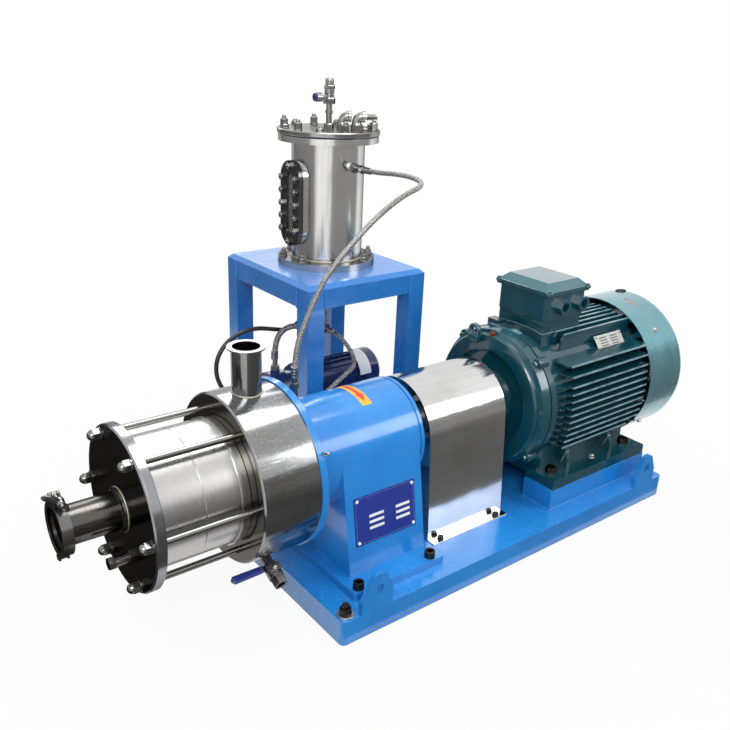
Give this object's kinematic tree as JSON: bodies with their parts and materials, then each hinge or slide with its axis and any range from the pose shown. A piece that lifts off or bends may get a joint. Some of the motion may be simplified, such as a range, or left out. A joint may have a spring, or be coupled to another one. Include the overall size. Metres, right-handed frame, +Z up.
{
  "type": "homogenizer pump",
  "caption": "Inline homogenizer pump on a skid: staged pump head, bearing pedestal, guarded coupling, finned motor, and a stand with a seal liquid vessel and circulation pump.",
  "frame": {"origin": "middle of the skid's underside, below the shaft", "axes": "+X along the shaft from the inlet towards the motor, +Y towards the stand, +Z up"},
  "size_m": [1.713, 0.925, 1.067],
  "materials": {
    "blue_paint": "gloss",
    "stand_paint": "gloss",
    "motor_paint": "semi-gloss",
    "small_motor_paint": "semi-gloss",
    "polished_steel": "polished",
    "brushed_stainless": "brushed",
    "guard_steel": "mirror polished sheet",
    "machined_steel": "machined",
    "zinc_steel": "zinc plated",
    "dark_steel": "blackened",
    "plate_blue": "printed",
    "bearing_steel": "ground",
    "seal_carbon": "matt",
    "spider_rubber": "matt",
    "gasket_white": "matt",
    "sleeve_blue": "gloss",
    "fan_plastic": "matt",
    "winding_copper": "varnished",
    "pane_glass": "clear",
    "fitting_steel": "bright",
    "braided_steel": "braided",
    "black_rubber": "satin"
  },
  "bodies": {
    "frame": {"base_skid": "blue_paint", "foot_bolts": "dark_steel", "bearing_pedestal": "blue_paint", "pedestal_screws": "dark_steel", "bearing_cover": "blue_paint", "bearings": "bearing_steel", "seal_stationary": "machined_steel", "pump_casing": "polished_steel", "rear_stage_casing": "brushed_stainless", "front_stage_casing": "brushed_stainless", "front_plate": "brushed_stainless", "plate_port": "fitting_steel", "tie_rods": "fitting_steel", "stators": "machined_steel", "clamp_back_half": "fitting_steel", "clamp_front_half": "fitting_steel", "drain_valve_body": "fitting_steel", "coupling_guard": "guard_steel", "guard_bolts": "dark_steel", "motor_frame": "motor_paint", "drive_end_shield": "motor_paint", "rear_end_shield": "motor_paint", "motor_stator": "winding_copper", "fan_cowl": "motor_paint", "terminal_box": "motor_paint", "terminal_lid": "motor_paint", "nameplates": "plate_blue", "stand_frame": "stand_paint", "stand_top": "stand_paint", "stand_bolts": "zinc_steel", "vessel_shell": "polished_steel", "vessel_gasket": "gasket_white", "vessel_lid": "brushed_stainless", "vessel_bolts": "fitting_steel", "sight_pane": "pane_glass", "sight_cover": "brushed_stainless", "sight_bolts": "fitting_steel", "filling_valve": "fitting_steel", "lid_elbows": "fitting_steel", "circulation_pump": "small_motor_paint", "circulation_motor": "small_motor_paint", "hose_fittings": "fitting_steel", "return_hose": "braided_steel", "seal_hose": "braided_steel", "drop_hose": "braided_steel", "delivery_hose": "braided_steel", "suction_hose": "black_rubber"},
    "driveline": {"pump_shaft": "machined_steel", "seal_rotating": "seal_carbon", "rotors": "machined_steel", "coupling_hubs": "machined_steel", "coupling_spider": "spider_rubber", "motor_rotor": "machined_steel", "motor_fan": "fan_plastic"},
    "circulation": {"circulation_rotor": "machined_steel"},
    "drain": {"drain_lever": "fitting_steel", "lever_sleeve": "sleeve_blue"},
    "clamp_bolt": {"clamp_swing_bolt": "fitting_steel"},
    "knob": {"valve_knob": "fitting_steel"},
    "release": {"release_ring": "sleeve_blue"}
  },
  "joints": [
    {"name": "shaft_spin", "type": "hinge", "parent": "frame", "child": "driveline", "pos_m": [0, 0, 0.312], "axis": [1, 0, 0], "continuous": true},
    {"name": "circulation_spin", "type": "hinge", "parent": "frame", "child": "circulation", "pos_m": [0, 0.479, 0.238], "axis": [1, 0, 0], "continuous": true},
    {"name": "drain_lever_turn", "type": "hinge", "parent": "frame", "child": "drain", "pos_m": [-0.632, -0.12404, 0.1365], "axis": [0, -0.4226, 0.9063], "range_deg": [0, 90]},
    {"name": "clamp_bolt_swing", "type": "hinge", "parent": "frame", "child": "clamp_bolt", "pos_m": [-1.007, 0.013, 0.374], "axis": [-1, 0, 0], "range_deg": [0, 100]},
    {"name": "knob_turn", "type": "hinge", "parent": "frame", "child": "knob", "pos_m": [-0.107, 0.4625, 1.05], "axis": [0, 0, 1], "range_deg": [0, 360]},
    {"name": "ring_press", "type": "slide", "parent": "frame", "child": "release", "axis": [1, 0, 0], "range_m": [0, 0.0015], "stiffness_N_per_m": 2000}
  ]
}
